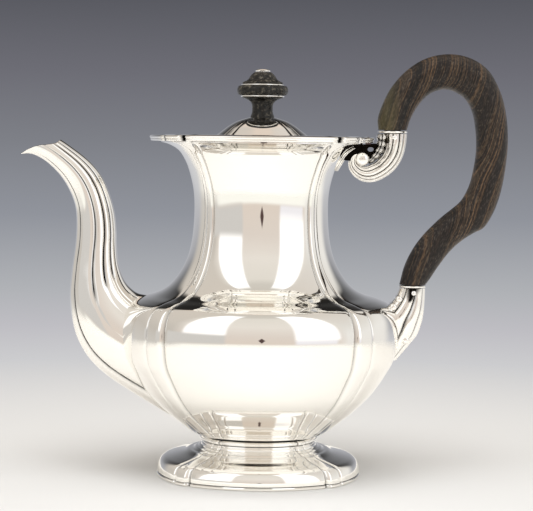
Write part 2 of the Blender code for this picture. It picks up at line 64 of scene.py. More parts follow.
WALL = 1.0
BODY_BOTTOM_Z = 15.35
LIP_TOP_Z = 126.35
BODY_ROWS = [
    (21.6, 15.35, 1.03), (25.5, 16.6, 1.03), (30.6, 20.3, 1.03), (35.5, 24.2, 1.03),
    (40.1, 28.5, 1.03), (43.6, 32.4, 1.03), (48.6, 40.0, 1.03), (51.2, 45.0, 1.03),
    (52.4, 52.0, 1.03), (52.3, 58.0, 1.03), (51.0, 62.5, 1.03), (48.9, 65.4, 1.03),
    (45.4, 67.0, 1.03), (39.6, 68.8, 1.035), (35.2, 71.3, 1.04), (31.4, 75.6, 1.045),
    (28.2, 81.5, 1.05), (26.3, 88.5, 1.05), (25.4, 98.0, 1.05), (25.8, 108.0, 1.06),
    (27.6, 115.6, 1.085), (29.2, 119.4, 1.1), (31.6, 122.9, 1.1), (35.0, 125.0, 1.09),
    (38.2, 125.95, 1.08),
]
RIM_SPREAD = 1.08
RIM_GROOVE_DEPTH = 0.032
HINGE_POCKET_X = (36.9, 40.9)
HINGE_POCKET_HALF = 9.8
HINGE_POCKET_Z = (125.0, 130.0)
LID_ROWS = [
    (1.6, 135.95, 1.0), (3.8, 135.75, 1.0), (6.4, 135.1, 1.02), (9.6, 134.0, 1.03),
    (12.7, 132.2, 1.03), (15.1, 130.4, 1.03), (16.9, 129.0, 1.035), (17.2, 128.75, 1.035),
    (17.6, 128.65, 1.035), (20.5, 128.6, 1.04),
    (29.0, 128.8, 1.06), (36.5, 128.7, 1.08), (38.0, 128.3, 1.08), (38.0, 127.5, 1.08),
]
LID_WALL = 0.85
FOOT_ROWS = [
    (21.5, 13.1, 1.03), (21.3, 12.4, 1.03), (21.7, 12.1, 1.03), (21.9, 11.5, 1.03),
    (22.5, 11.3, 1.03), (23.0, 10.8, 1.03), (23.8, 10.7, 1.03), (24.9, 9.9, 1.03),
    (26.6, 9.7, 1.03), (28.5, 8.8, 1.035), (33.0, 7.6, 1.04), (35.6, 6.9, 1.04),
    (36.4, 6.5, 1.04), (37.4, 5.6, 1.04), (38.3, 3.4, 1.04), (38.4, 1.45, 1.04),
]
FOOT_WALL = 1.2
FOOT_GROOVE_DEPTH = 0.034

STRAINER_Z = 47.0        # middle of the nine strainer holes behind the spout
STRAINER_PITCH = 5.0
STRAINER_R = 1.3
STRAINER_X = (-58.0, -42.0)

SPOUT_STATIONS = [
    ((-30.0, 20.0), (-34.0, 64.0), 11.0), ((-41.6, 26.9), (-41.0, 66.9), 12.4),
    ((-50.0, 32.0), (-46.5, 68.0), 12.6), ((-58.0, 37.3), (-49.6, 70.2), 12.0),
    ((-64.3, 43.2), (-51.5, 72.5), 11.2), ((-68.9, 50.6), (-52.9, 75.4), 10.2),
    ((-71.3, 58.5), (-54.0, 79.0), 9.2), ((-72.2, 67.5), (-54.6, 83.2), 8.2),
    ((-71.5, 77.0), (-54.9, 88.0), 7.4), ((-70.2, 87.0), (-55.0, 92.3), 6.9),
    ((-69.8, 95.2), (-55.8, 99.4), 6.6), ((-70.4, 101.4), (-57.8, 106.3), 6.4),
    ((-72.4, 106.9), (-60.6, 112.5), 6.2), ((-75.6, 112.2), (-65.0, 117.9), 6.0),
    ((-80.0, 116.8), (-71.6, 123.2), 5.6), ((-84.0, 119.6), (-78.8, 127.6), 4.9),
    ((-87.8, 121.0), (-85.8, 129.0), 3.5), ((-91.3, 120.8), (-91.0, 129.0), 1.0),
]
SPOUT_GROOVES = (39.0, 92.0, 121.0, 144.0)      # degrees from the spout's outer edge
SPOUT_GROOVE_DEPTHS = (0.045, 0.05, 0.07, 0.07)
SPOUT_GROOVE_WIDTH = 6.5
SPOUT_SWELL = 0.018      # how far the reeds swell between grooves, as a share
SPOUT_WALL = 1.0
SPOUT_SINK = 0.35        # depth of the spout's edge in the body's wall
MOUTH_CUT = [
    (-94.0, 119.6), (-91.0, 120.9), (-87.8, 122.6), (-84.8, 123.7), (-80.2, 124.3),
    (-77.0, 125.0), (-75.9, 126.6), (-75.0, 133.0),
]

HANDLE_STATIONS = [
    ((43.9, 131.4), (54.7, 131.4), 5.5), ((43.6, 135.5), (55.6, 134.6), 6.0),
    ((45.3, 141.0), (57.3, 138.3), 6.3), ((48.6, 147.5), (59.3, 141.4), 6.5),
    ((53.9, 153.6), (62.0, 144.3), 6.6), ((61.0, 158.3), (65.2, 146.2), 6.8),
    ((69.5, 160.2), (69.4, 146.9), 7.0), ((77.6, 159.0), (73.4, 145.6), 7.1),
    ((84.6, 154.7), (76.9, 142.9), 7.1), ((89.4, 146.9), (79.4, 138.0), 7.0),
    ((92.0, 138.0), (80.6, 132.0), 6.8), ((92.9, 127.5), (81.0, 124.5), 6.6),
    ((92.1, 117.0), (80.2, 117.5), 6.4), ((90.3, 107.3), (78.5, 110.5), 6.3),
    ((87.6, 99.9), (75.6, 105.0), 6.2), ((84.2, 94.7), (71.9, 101.6), 6.1),
    ((81.0, 93.0), (69.4, 99.6), 6.0), ((76.2, 89.9), (66.2, 96.7), 5.9),
    ((71.6, 85.6), (61.6, 91.9), 5.8), ((67.3, 79.8), (57.4, 86.0), 5.6),
    ((64.4, 75.3), (54.4, 79.4), 5.3), ((62.7, 72.95), (52.8, 72.95), 4.9),
]
GRIP_SCALE = 0.998
TENON_R = 3.2
UPPER_TENON_Z = 126.4    # lower ends of the two tenons
LOWER_TENON_Z = 68.0
FINIAL_HOLE = 1.3
FINIAL_STEM = [          # radius, height over the CAD node's foot; it beds into the dome
    (4.5, -0.7), (4.5, -0.3), (4.3, 0.3), (4.0, 1.1), (3.9, 2.2), (3.9, 3.6), (4.2, 4.8),
    (5.1, 5.8), (6.6, 6.5), (7.6, 6.8),
]
FINIAL_STEM_TOP_R = 7.7
FINIAL_BEAD = [          # radius, share of the half height
    (8.0, -1.0), (8.9, -0.97), (9.45, -0.6), (9.65, 0.0), (9.45, 0.6), (8.9, 0.97), (8.0, 1.0),
]
FINIAL_CROWN = [(7.3, 0.0), (7.7, 0.3), (7.4, 0.7), (6.1, 1.3), (5.4, 1.9), (4.9, 2.7), (4.1, 3.7)]
FINIAL_CROWN_TOP_R = 3.1
DISC_HALF = 0.34
DISC_PAST = 0.15         # how far the fine discs reach past their CAD nodes

UPPER_SCROLL_STATIONS = [
    ((54.6, 129.95), (46.8, 129.95), 5.1), ((54.3, 126.6), (46.9, 126.6), 5.0),
    ((53.7, 123.2), (46.2, 123.4), 4.8), ((52.4, 119.8), (44.6, 120.8), 4.6),
    ((50.3, 116.7), (42.6, 119.0), 4.5), ((47.0, 113.9), (40.8, 118.1), 4.3),
    ((42.9, 112.0), (39.2, 117.6), 4.1), ((38.6, 111.9), (37.6, 117.8), 3.9),
    ((35.0, 113.9), (36.4, 118.6), 3.6), ((32.9, 117.1), (35.8, 119.6), 3.2),
    ((33.0, 120.4), (36.2, 121.0), 2.7), ((34.6, 122.7), (37.0, 121.6), 2.2),
]
UPPER_SCROLL_GROOVES = (22.0, 46.0, 76.0, 112.0, 146.0)
UPPER_LEAF_STATIONS = [
    ((47.6, 129.9), (43.2, 129.9), 4.7), ((47.3, 127.6), (43.3, 127.6), 4.6),
    ((46.9, 125.2), (43.0, 125.6), 4.5), ((46.0, 123.0), (42.2, 124.0), 4.3),
    ((44.5, 120.9), (41.3, 122.4), 3.9), ((42.5, 119.3), (40.4, 120.8), 3.2),
    ((40.9, 118.4), (39.6, 119.3), 1.6),
]
NECK_LEAF_STATIONS = [
    ((35.7, 124.2), (34.2, 124.7), 3.1), ((33.5, 122.6), (31.4, 123.1), 3.1),
    ((31.9, 120.6), (29.4, 120.8), 2.7), ((30.3, 118.0), (27.9, 118.2), 2.0),
    ((28.9, 115.6), (26.9, 115.9), 0.8),
]
VOLUTE = (37.9, 120.4, 2.65, 4.7)        # centre x, z, radius, half width
BRACKET_OUTLINE = [      # its inner edge lies within the thickness of the neck's wall
    (29.6, 120.8), (31.0, 119.9), (34.0, 119.6), (38.0, 119.4), (41.0, 120.4), (43.5, 121.0),
    (46.0, 123.5), (46.0, 125.7), (37.8, 125.85), (34.7, 125.0), (31.2, 122.9),
]
BRACKET_WINDOW = (41.0, 124.0, 1.15, 0.85)   # centre x, z, half width, half height
BRACKET_HALF = 2.2
LOWER_SOCKET_STATIONS = [
    ((62.5, 71.65), (53.0, 71.65), 4.8), ((62.4, 67.5), (51.6, 68.0), 4.7),
    ((62.0, 62.6), (48.8, 64.6), 4.9), ((60.9, 57.8), (45.5, 61.5), 5.0),
    ((59.3, 53.6), (44.5, 57.5), 4.5), ((57.0, 50.6), (44.0, 53.5), 3.6),
    ((54.3, 47.2), (43.5, 49.5), 2.6), ((51.6, 43.9), (43.0, 46.0), 1.4),
]
LOWER_GROOVES = (36.0, 78.0, 122.0)
PIN_SHADE_REACH = 44.0      # degrees of the lower socket painted dark below its pin, as shade in the hollow
LOWER_KNOBS = [          # x, z, radius, half width of the leaf's small curls
    (52.6, 67.6, 1.5, 4.6), (50.4, 64.6, 1.6, 4.9), (48.2, 61.4, 1.7, 5.0),
    (55.2, 52.0, 1.8, 3.9), (51.2, 50.6, 1.7, 3.6),
]


# ---------------------------------------------------------------- curves and meshes

def spline(points, spacing, ruler=2):
    """Points about `spacing` apart on a smooth curve through the given points.

    The first `ruler` columns measure distance; the others are carried along.
    """
    given = np.array(points, float)
    spans = np.linalg.norm(np.diff(given[:, :ruler], axis=0), axis=1)
    knots = np.concatenate(([0.0], np.cumsum(np.sqrt(spans))))
    slopes = np.diff(given, axis=0) / np.diff(knots)[:, None]
    tangents = np.empty_like(given)
    tangents[0], tangents[-1] = slopes[0], slopes[-1]
    before, after = np.diff(knots)[:-1, None], np.diff(knots)[1:, None]
    tangents[1:-1] = (slopes[:-1] * after + slopes[1:] * before) / (before + after)
    made = [given[0]]
    for index, span in enumerate(spans):
        width = knots[index + 1] - knots[index]
        steps = max(1, math.ceil(span / spacing))
        for step in range(1, steps + 1):
            t = step / steps
            made.append(
                (2 * t**3 - 3 * t**2 + 1) * given[index]
                + (t**3 - 2 * t**2 + t) * width * tangents[index]
                + (3 * t**2 - 2 * t**3) * given[index + 1]
                + (t**3 - t**2) * width * tangents[index + 1])
    return np.array(made)


def arc(centre, radius, start, stop, count):
    """Points (mm) of an arc; angles in degrees."""
    turns = np.radians(np.linspace(start, stop, count))
    return [(centre[0] + radius * math.cos(t), centre[1] + radius * math.sin(t)) for t in turns]


def offset(rows, wall):
    """Rows (radius, height, ...) moved along their own normal, inward for a positive wall."""
    rows = np.array(rows, float)
    along = np.gradient(rows[:, :2], axis=0)
    along /= np.linalg.norm(along, axis=1)[:, None]
    moved = rows.copy()
    moved[:, 0] -= along[:, 1] * wall
    moved[:, 1] += along[:, 0] * wall
    return moved


def mesh_object(name, rings, closed=False, marks=None, sharp=40.0):
    """A closed mesh from rings of points (mm); `marks` holds named values, one per point."""
    grid = np.array(rings, float)
    rows, columns = grid.shape[:2]
    points = grid.reshape(-1, 3)
    values = {key: np.array(value, float).reshape(-1) for key, value in (marks or {}).items()}
    index = np.arange(rows * columns).reshape(rows, columns)
    if closed:
        index = np.vstack((index, index[:1]))
    faces = ring_faces(index)
    if not closed:
        for ring, turn in ((index[0], -1), (index[-1], 1)):
            centre = len(points)
            points = np.vstack((points, points[ring].mean(0)))
            values = {key: np.append(value, value[ring].mean()) for key, value in values.items()}
            loop = ring[::turn]
            faces += [(a, b, centre) for a, b in zip(loop.tolist(), np.roll(loop, -1).tolist())]
    mesh = bpy.data.meshes.new(name)
    mesh.from_pydata((points * MM).tolist(), [], faces)
    if signed_volume(points, faces) < 0.0:
        mesh.flip_normals()
    for key, value in values.items():
        mesh.attributes.new(key, "FLOAT", "POINT").data.foreach_set("value", value)
    mesh.shade_smooth()
    mesh.set_sharp_from_angle(angle=math.radians(sharp))
    made = bpy.data.objects.new(name, mesh)
    bpy.context.scene.collection.objects.link(made)
    return made


def round_rings(rows, sides, centre=(0.0, 0.0), order=(0, 1, 2)):
    """Circles about an axis, from rows of (radius, place along it); `order` sorts the columns."""
    turns = np.linspace(0.0, 2.0 * math.pi, sides, endpoint=False)
    return [np.stack((centre[0] + radius * np.cos(turns), centre[1] + radius * np.sin(turns),
                      np.full(sides, place)), axis=-1)[:, order] for radius, place in rows]


def ring_faces(index):
    """Quads that bridge each row of point numbers to the next, round and round."""
    right = np.roll(index, -1, axis=1)
    quads = np.stack((index[:-1], right[:-1], right[1:], index[1:]), axis=-1)
    return quads.reshape(-1, 4).tolist()


def signed_volume(points, faces):
    """Six times the volume inside the faces, below zero if they point in."""
    total = 0.0
    for face in faces:
        a = points[face[0]]
        for second, third in zip(face[1:], face[2:]):
            total += np.dot(a, np.cross(points[second], points[third]))
    return total


def merge(name, pieces):
    """Join several closed meshes into one piece, each still its own closed body."""
    with bpy.context.temp_override(active_object=pieces[0], selected_editable_objects=pieces):
        bpy.ops.object.join()
    pieces[0].name = name
    return pieces[0]


def wobble(a, b):
    """A slow, smooth, repeatable unevenness between -1 and 1 for two running values."""
    return (np.sin(2.1 * a + 1.3 * b + 0.4) + np.sin(-3.3 * a + 0.7 * b + 2.2)
            + np.sin(1.2 * a - 2.9 * b + 4.1)) / 3.0


# ---------------------------------------------------------------- lobed pieces

def groove_angle(height):
    """Degrees from a panel's centre to its groove at this height (mm)."""
    heights, angles = zip(*GROOVE_PATH)
    return np.interp(height, heights, angles)


def lobe_angles(groove):
    """Angles round the plan, close together at the grooves."""
    panel = np.linspace(0.0, groove - GROOVE_SOFT, 17)[:-1]
    lip = groove - GROOVE_SOFT * np.linspace(1.0, 0.0, 8)[:-1] ** 1.5
    rib = groove + (45.0 - groove) * np.array([0.0, 0.05, 0.12, 0.22, 0.36, 0.54, 0.76, 1.0])
    half = np.concatenate((panel, lip, rib))
    quarter = np.concatenate((half, 90.0 - half[-2:0:-1]))
    return np.concatenate([quarter + 90.0 * turn for turn in range(4)])


def from_panel(angle):
    """Degrees between a plan angle and the nearest panel's centre."""
    return np.abs((angle + 45.0) % 90.0 - 45.0)


def plan_radius(angle, spread, groove, depth=GROOVE_DEPTH, rise=RIB_RISE):
    """Radius over the radius at a panel's centre, for plan angles in degrees."""
    off = from_panel(angle)
    share = np.minimum(off / groove, 1.0)
    across = np.clip((off - groove) / (90.0 - 2.0 * groove), 0.0, 1.0)
    rib = rise * (1.0 - np.abs(2.0 * across - 1.0) ** 3.5)
    cut = np.clip(1.0 - np.abs(off - groove) / GROOVE_SOFT, 0.0, 1.0) ** 1.7
    return 1.0 + (spread - 1.0) * share**2 + rib - depth * cut


def lobed(name, rows, closed=False, uneven=0.0, sharp=40.0, depth=GROOVE_DEPTH, dark=0.8,
          shade_reach=0.75):
    """A closed mesh of the four-panelled plan through rows of (radius, height, spread).

    `dark` is how black the grooves are painted, as shade, and the last argument how many degrees
    that painted shade reaches.
    """
    rings, marks = [], []
    for radius, height, spread in rows:
        groove = groove_angle(height)
        angle = lobe_angles(groove)
        turn = np.radians(angle)
        fade = min(1.0, max(0.0, (spread - 1.0) / 0.02))
        reach = radius * plan_radius(angle, spread, groove, depth * fade, RIB_RISE * fade)
        reach = reach + uneven * (wobble(2.0 * np.sin(turn), height / 9.0 + np.cos(turn)) - 1.0)
        rings.append(np.stack((reach * np.cos(turn), reach * np.sin(turn),
                               np.full_like(turn, height)), axis=-1))
        # Painted shade: the marks blacken a band along each groove.
        near = np.clip(1.0 - np.abs(from_panel(angle) - groove) / shade_reach, 0.0, 1.0)
        marks.append(near * fade * dark)
    return mesh_object(name, rings, closed, {"groove": marks}, sharp)


BODY_LINE = spline(BODY_ROWS, 0.9)


def body_radius(x, y, z):
    """The body's outside radius in the direction of (x, y) at height z."""
    radius = np.interp(z, BODY_LINE[:, 1], BODY_LINE[:, 0])
    spread = np.interp(z, BODY_LINE[:, 1], BODY_LINE[:, 2])
    return radius * plan_radius(np.degrees(np.arctan2(y, x)), spread, groove_angle(z))


def make_body():
    """Body and neck in one sheet, open at the top."""
    inner = offset(BODY_LINE, WALL)[3:-4:3]
    lip = [(38.2, LIP_TOP_Z, 1.08), (37.2, LIP_TOP_Z, 1.08)]
    floor = [(inner[0][0] - 2.0, BODY_BOTTOM_Z + WALL, 1.03)]
    rows = np.vstack((BODY_LINE, lip, inner[::-1], floor))
    body = lobed("body", rows, uneven=0.085, sharp=50.0, dark=0.5)
    drill_strainer(body)
    return body


def drill_strainer(body):
    """Nine holes through the wall inside the spout's root."""
    drills = []
    for row in (-1, 0, 1):
        for column in (-1, 0, 1):
            centre = (column * STRAINER_PITCH, STRAINER_Z + row * STRAINER_PITCH)
            ends = [(STRAINER_R, x) for x in STRAINER_X]
            drills.append(mesh_object("drill", round_rings(ends, 20, centre, ALONG_X)))
    cut(body, merge("strainer_drills", drills), 50.0)


def cut(piece, tool, sharp):
    """Take the tool's shape out of the piece, and the tool out of the scene."""
    step = piece.modifiers.new("cut", "BOOLEAN")
    step.operation = "DIFFERENCE"
    step.solver = "EXACT"
    step.object = tool
    with bpy.context.temp_override(object=piece, active_object=piece):
        bpy.ops.object.modifier_apply(modifier=step.name)
    bpy.data.objects.remove(tool, do_unlink=True)
    piece.data.set_sharp_from_angle(angle=math.radians(sharp))


def make_rim():
    """The wire round the mouth, with the pocket that the hinge lies in."""
    section = arc((41.75, 127.85), 0.65, 100.0, -60.0, 9)
    section += arc((41.55, 126.95), 0.55, 50.0, -100.0, 9)
    section += [(40.2, 126.55), (38.6, 126.6), (38.5, 127.6), (38.6, 128.4), (39.2, 128.5)]
    rows = [(radius, height, RIM_SPREAD) for radius, height in section]
    # The rim's grooves are painted solid black as shade.
    rim = lobed("rim", rows, closed=True, sharp=60.0, depth=RIM_GROOVE_DEPTH, dark=2.0,
                shade_reach=1.3)
    (near, far), half = HINGE_POCKET_X, HINGE_POCKET_HALF
    pocket = mesh_object("hinge_pocket", [
        [(near, -half, z), (far, -half, z), (far, half, z), (near, half, z)]
        for z in HINGE_POCKET_Z])
    cut(rim, pocket, 60.0)
    return rim


def make_foot():
    """The domed foot, the flat wire under its edge and the collar over its stem."""
    outside = spline(FOOT_ROWS, 0.5)
    lining = offset(FOOT_ROWS, -FOOT_WALL)
    lining[:, 1] = np.clip(lining[:, 1], 1.45, 13.1)
    foot = lobed("foot_dome", np.vstack((outside, lining[::-1][::2])), closed=True,
                 uneven=0.02, depth=FOOT_GROOVE_DEPTH, dark=0.5)
    wire = [(36.6, 0.0), (38.3, 0.0), (38.7, 0.35), (38.7, 0.8), (38.4, 1.15), (36.9, 1.15)]
    base = lobed("base_wire", [(r, z, 1.04) for r, z in wire], closed=True,
                 depth=FOOT_GROOVE_DEPTH)
    section = [(19.6, 13.45), (21.9, 13.45)] + arc((21.9, 14.15), 0.6, -70.0, 80.0, 8)
    section += [(21.7, 15.0), (19.6, 15.05)]
    collar = lobed("collar", [(r, z, 1.03) for r, z in section], closed=True)
    return foot, base, collar


def make_lid():
    """The flush lid, domed in the middle, with the hole for the finial's bolt."""
    outside = spline(LID_ROWS[:-1], 0.7)
    under = offset(LID_ROWS[:-2], -LID_WALL)
    under[:, 1] = np.minimum(under[:, 1], outside[:, 1].max())
    edge = [LID_ROWS[-1], (36.9, 127.4, 1.08), (35.9, 127.8, 1.08)]
    inside = [(r, z, s) for r, z, s in under[::-1] if r < 35.0]
    inside[-1] = (1.6, 135.05, 1.0)
    # The lid's grooves are painted black over a wide band, as shade and dark reflection.
    return lobed("lid_dome", np.vstack((outside, edge, inside)), closed=True, uneven=0.02,
                 depth=RIM_GROOVE_DEPTH, dark=1.8, shade_reach=2.0)


# ---------------------------------------------------------------- turned pieces

def turned(name, rows, closed=True, sides=72, centre=(0.0, 0.0)):
    """A piece turned about an upright axis, from rows of (radius, height)."""
    return mesh_object(name, round_rings(rows, sides, centre), closed)


def node_box(name):
    """A CAD node's lowest and highest corners in mm."""
    low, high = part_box(name)
    return np.array(low) / MM, np.array(high) / MM


def bored(name, node, shape):
    """A turned piece round the finial's bolt, its rows measured from its CAD node's foot."""
    low, high = node_box(node)
    outside = [(r, low[2] + z) for r, z in spline(shape, 0.3)]
    return turned(name, [(FINIAL_HOLE, low[2])] + outside + [(FINIAL_HOLE, high[2])])


def node_height(name):
    low, high = node_box(name)
    return high[2] - low[2]


def make_bezel():
    """The ring under the lid, thinned at its foot."""
    low, high = node_box("lid_bezel")
    reach, foot, top = high[0], low[2], high[2]
    rows = [(reach - 0.8, foot + 0.2), (reach - 0.5, foot), (reach - 0.1, foot + 0.1),
            (reach, foot + 0.5), (reach, top), (reach - 0.8, top)]
    return turned("bezel", rows, sides=120)


def make_finial():
    """Fine versions of the finial's turned pieces, fitted to their CAD nodes."""
    stem = FINIAL_STEM + [(FINIAL_STEM_TOP_R, node_height("finial_stem"))]
    half = node_height("finial_bead") / 2.0
    bead = [(radius, half + half * share) for radius, share in FINIAL_BEAD]
    crown = FINIAL_CROWN + [(FINIAL_CROWN_TOP_R, node_height("finial_crown"))]
    made = {
        "finial_stem": bored("stem", "finial_stem", stem),
        "finial_bead": bored("bead", "finial_bead", bead),
        "finial_crown": bored("crown", "finial_crown", crown),
    }
    for node, name in (("finial_lower_disc", "lower_disc"), ("finial_upper_disc", "upper_disc")):
        low, high = node_box(node)
        middle, reach = (low[2] + high[2]) / 2.0, high[0] + DISC_PAST
        edge = arc((reach - DISC_HALF, middle), DISC_HALF, -90.0, 90.0, 9)
        made[node] = turned(name, [(FINIAL_HOLE, middle - DISC_HALF)] + edge
                            + [(FINIAL_HOLE, middle + DISC_HALF)])
    low, high = node_box("finial_bolt")
    cap = [(1.15, low[2]), (1.15, 152.75), (2.75, 152.85), (2.85, 153.15), (2.5, 153.55),
           (1.5, 153.78), (0.5, high[2])]
    made["finial_bolt"] = turned("bolt", cap, closed=False, sides=48)
    return made


# ---------------------------------------------------------------- swept pieces

def edge_columns(stations):
    """Stations as (centre x, centre z, half reach x, half reach z, half width)."""
    rows = []
    for (outer_x, outer_z), (inner_x, inner_z), half in stations:
        rows.append(((outer_x + inner_x) / 2.0, (outer_z + inner_z) / 2.0,
                     (outer_x - inner_x) / 2.0, (outer_z - inner_z) / 2.0, half))
    return rows


class Sweep:
    """An oval tube through stations; `at(t, angle)` gives points, t from 0 to 1."""

    def __init__(self, stations, power=2.0):
        self.rows = spline(edge_columns(stations), 0.4)
        steps = np.linalg.norm(np.diff(self.rows[:, :2], axis=0), axis=1)
        self.length = steps.sum()
        self.t = np.concatenate(([0.0], np.cumsum(steps))) / self.length
        self.power = power

    def at(self, t, angle, scale=1.0, wall=0.0):
        cx, cz, rx, rz, half = (np.interp(t, self.t, self.rows[:, k]) for k in range(5))
        reach = np.hypot(rx, rz)
        shrink = np.maximum(1.0 - wall / reach, 0.15)
        half = np.maximum(half - wall, 0.4)
        turn = np.radians(angle)
        shape = 2.0 / self.power
        c = np.sign(np.cos(turn)) * np.abs(np.cos(turn)) ** shape
        s = np.sign(np.sin(turn)) * np.abs(np.sin(turn)) ** shape
        return np.stack((cx + rx * c * scale * shrink, half * s * scale,
                         cz + rz * c * scale * shrink), axis=-1)


def angles_between(stops, counts):
    """Angles from 0 to 180 by way of the stops, closer together at each, then mirrored."""
    half = []
    for start, stop, count in zip(stops, stops[1:], counts):
        t = np.arange(count) / count
        half.append(start + (stop - start) * (1.0 - np.cos(math.pi * t)) / 2.0)
    half = np.concatenate(half + [[180.0]])
    return np.concatenate((half, 360.0 - half[-2:0:-1]))


def reeds(angle, grooves, width, bulge, depths):
    """Section scale with a V groove at each stop and a swell between two; and the mark of painted
    shade along each groove.
    """
    off = np.minimum(angle % 360.0, 360.0 - angle % 360.0)
    scale = np.ones_like(off)
    mark = np.zeros_like(off)
    stops = [-grooves[0]] + list(grooves) + [360.0 - grooves[-1]]
    for low, high in zip(stops, stops[1:]):
        share = np.clip((off - low) / (high - low), 0.0, 1.0)
        scale = scale + bulge * np.sin(math.pi * share)
    for groove, depth in zip(grooves, depths):
        near = np.clip(1.0 - np.abs(off - groove) / width, 0.0, 1.0)
        scale = scale - depth * near**1.4
        mark = np.maximum(mark, np.clip(2.5 * near - 1.3, 0.0, 1.0) * depth)
    return scale, mark


def smooth_step(value, start, stop):
    t = np.clip((value - start) / (stop - start), 0.0, 1.0)
    return t * t * (3.0 - 2.0 * t)


def make_spout():
    """The hollow spout, from where it comes out of the body to its cut mouth."""
    sweep = Sweep(SPOUT_STATIONS)
    stops = (0.0,) + SPOUT_GROOVES + (180.0,)
    angle = angles_between(stops, (12, 16, 12, 10, 12))
    cut_line = spline(MOUTH_CUT, 0.4)
    samples = np.linspace(0.0, 0.998, 600)[:, None]
    t, a = np.broadcast_arrays(samples, angle[None, :])

    def wall_points(wall, t):
        """Points at these shares of the length, reeded on the outside (wall 0); and marks of
        painted shade.

        The reeds fade out towards the mouth, and all but the front one towards the root.
        """
        centre = sweep.at(t, a[:1], 0.0)
        mouth = 1.0 - smooth_step(-centre[..., 0], 74.0, 84.0)
        front = (smooth_step(centre[..., 2], 44.0, 50.0) * 0.4 + 0.6) * mouth
        back = smooth_step(centre[..., 2], 63.0, 71.0) * mouth
        outside = 0.0 if wall > 0.0 else 1.0
        depths = [outside * depth * fade
                  for depth, fade in zip(SPOUT_GROOVE_DEPTHS, (front, back, back, back))]
        scale, mark = reeds(a[:1], SPOUT_GROOVES, SPOUT_GROOVE_WIDTH, outside * SPOUT_SWELL,
                            depths)
        return sweep.at(t, a[:1], scale, wall), mark

    def line_ends(wall):
        """Where each line along the wall comes out of the body, and where the mouth cuts it."""
        points, _ = wall_points(wall, t)
        x, y, z = points[..., 0], points[..., 1], points[..., 2]
        sunk = body_radius(x, y, z) - SPOUT_SINK - np.hypot(x, y)
        hidden = (sunk > 0.0) & (z < 100.0)
        hidden[0] = True
        last = hidden.shape[0] - 1 - np.argmax(hidden[::-1], axis=0)
        over = (z > np.interp(x, cut_line[:, 0], cut_line[:, 1])) & (x < -70.0)
        over[-1] = True
        first = np.argmax(over, axis=0)
        return samples[last, 0], samples[first, 0]

    rings, groove, inside = [], [], []
    outer_start, outer_end = line_ends(0.0)
    inner_start, inner_end = line_ends(SPOUT_WALL)
    inner_start = np.maximum(inner_start, outer_start)
    steps = (1.0 - np.cos(math.pi * np.linspace(0.0, 1.0, 30))) / 4.0
    shares = np.unique(np.concatenate((steps[steps < 0.12], np.linspace(0.12, 0.9, 110),
                                       1.0 - steps[steps < 0.1])))
    for share in shares:
        here = (outer_start + (outer_end - outer_start) * share)[None, :]
        points, mark = wall_points(0.0, here)
        rings.append(points[0])
        groove.append(mark[0])
        inside.append(np.zeros(len(angle)))
    lip = (rings[-1] + wall_points(SPOUT_WALL, inner_end[None, :])[0][0]) / 2.0
    lip[:, 2] += 0.22
    rings.append(lip)
    groove.append(np.zeros(len(angle)))
    inside.append(np.full(len(angle), 0.8))
    for share in np.linspace(1.0, 0.0, 40):
        here = (inner_start + (inner_end - inner_start) * share)[None, :]
        rings.append(wall_points(SPOUT_WALL, here)[0][0])
        groove.append(np.zeros(len(angle)))
        inside.append(np.ones(len(angle)))
    # The groove marks, scaled up, paint the spout's grooves black as shade.
    return mesh_object("spout_tube", rings, closed=True,
                       marks={"groove": np.array(groove) * 25.0, "inside": inside}, sharp=60.0)


def make_handle():
    """The wooden grip with a tenon at each end."""
    sweep = Sweep(HANDLE_STATIONS, power=2.25)
    angle = np.linspace(0.0, 360.0, 48, endpoint=False)
    rings = []
    for t in np.linspace(0.0, 1.0, 170):
        rings.append(sweep.at(t, angle, GRIP_SCALE))
    upper = tenon_rings("upper_ferrule", rings[0], UPPER_TENON_Z)
    lower = tenon_rings("lower_ferrule", rings[-1], LOWER_TENON_Z)
    return mesh_object("handle_wood", upper[::-1] + rings + lower, sharp=35.0)


def tenon_rings(ferrule, ring, end_z):
    """The round tenon below one end of the grip, through the ferrule's middle."""
    low, high = node_box(ferrule)
    centre = (low + high) / 2.0
    around = ring - ring.mean(0)
    turn = np.arctan2(around[:, 1], around[:, 0])
    shoulder = np.stack((centre[0] + TENON_R * np.cos(turn), TENON_R * np.sin(turn), ring[:, 2]),
                        axis=-1)
    end = shoulder.copy()
    end[:, 2] = end_z
    return [shoulder, end]


# ---------------------------------------------------------------- sockets and fittings

def reeded(stations, grooves, bulge, depth, ruffle=0.0, waves=0, fade_end=False, stain=0.0,
           width=8.5):
    """Angles, rings and marks of painted shade of a swept piece with V grooves along it.

    `ruffle` pinches its edge into `waves` lobes, with painted shade in the pinches, and `stain`
    paints shade over all of it.
    """
    sweep = Sweep(stations, power=2.2)
    angle = angles_between((0.0,) + grooves + (180.0,), (12,) * (len(grooves) + 1))
    rings, marks = [], []
    for t in np.linspace(0.0, 1.0, 100):
        fade = 1.0 - float(smooth_step(t, 0.85, 1.0)) if fade_end else 1.0
        scale, mark = reeds(angle, grooves, width, bulge * fade, [depth * fade] * len(grooves))
        pinch = 1.0 - abs(math.sin(math.pi * waves * t)) if waves else 0.0
        rings.append(sweep.at(t, angle, scale * (1.0 - ruffle * pinch)))
        # Painted shade: groove marks, shade over all of it and darker pinches.
        marks.append(mark / depth + stain + ruffle * pinch * 2.0)
    return angle, rings, marks


def reeded_mesh(name, *shape, **finish):
    _, rings, marks = reeded(*shape, **finish)
    return mesh_object(name, rings, marks={"groove": marks}, sharp=60.0)


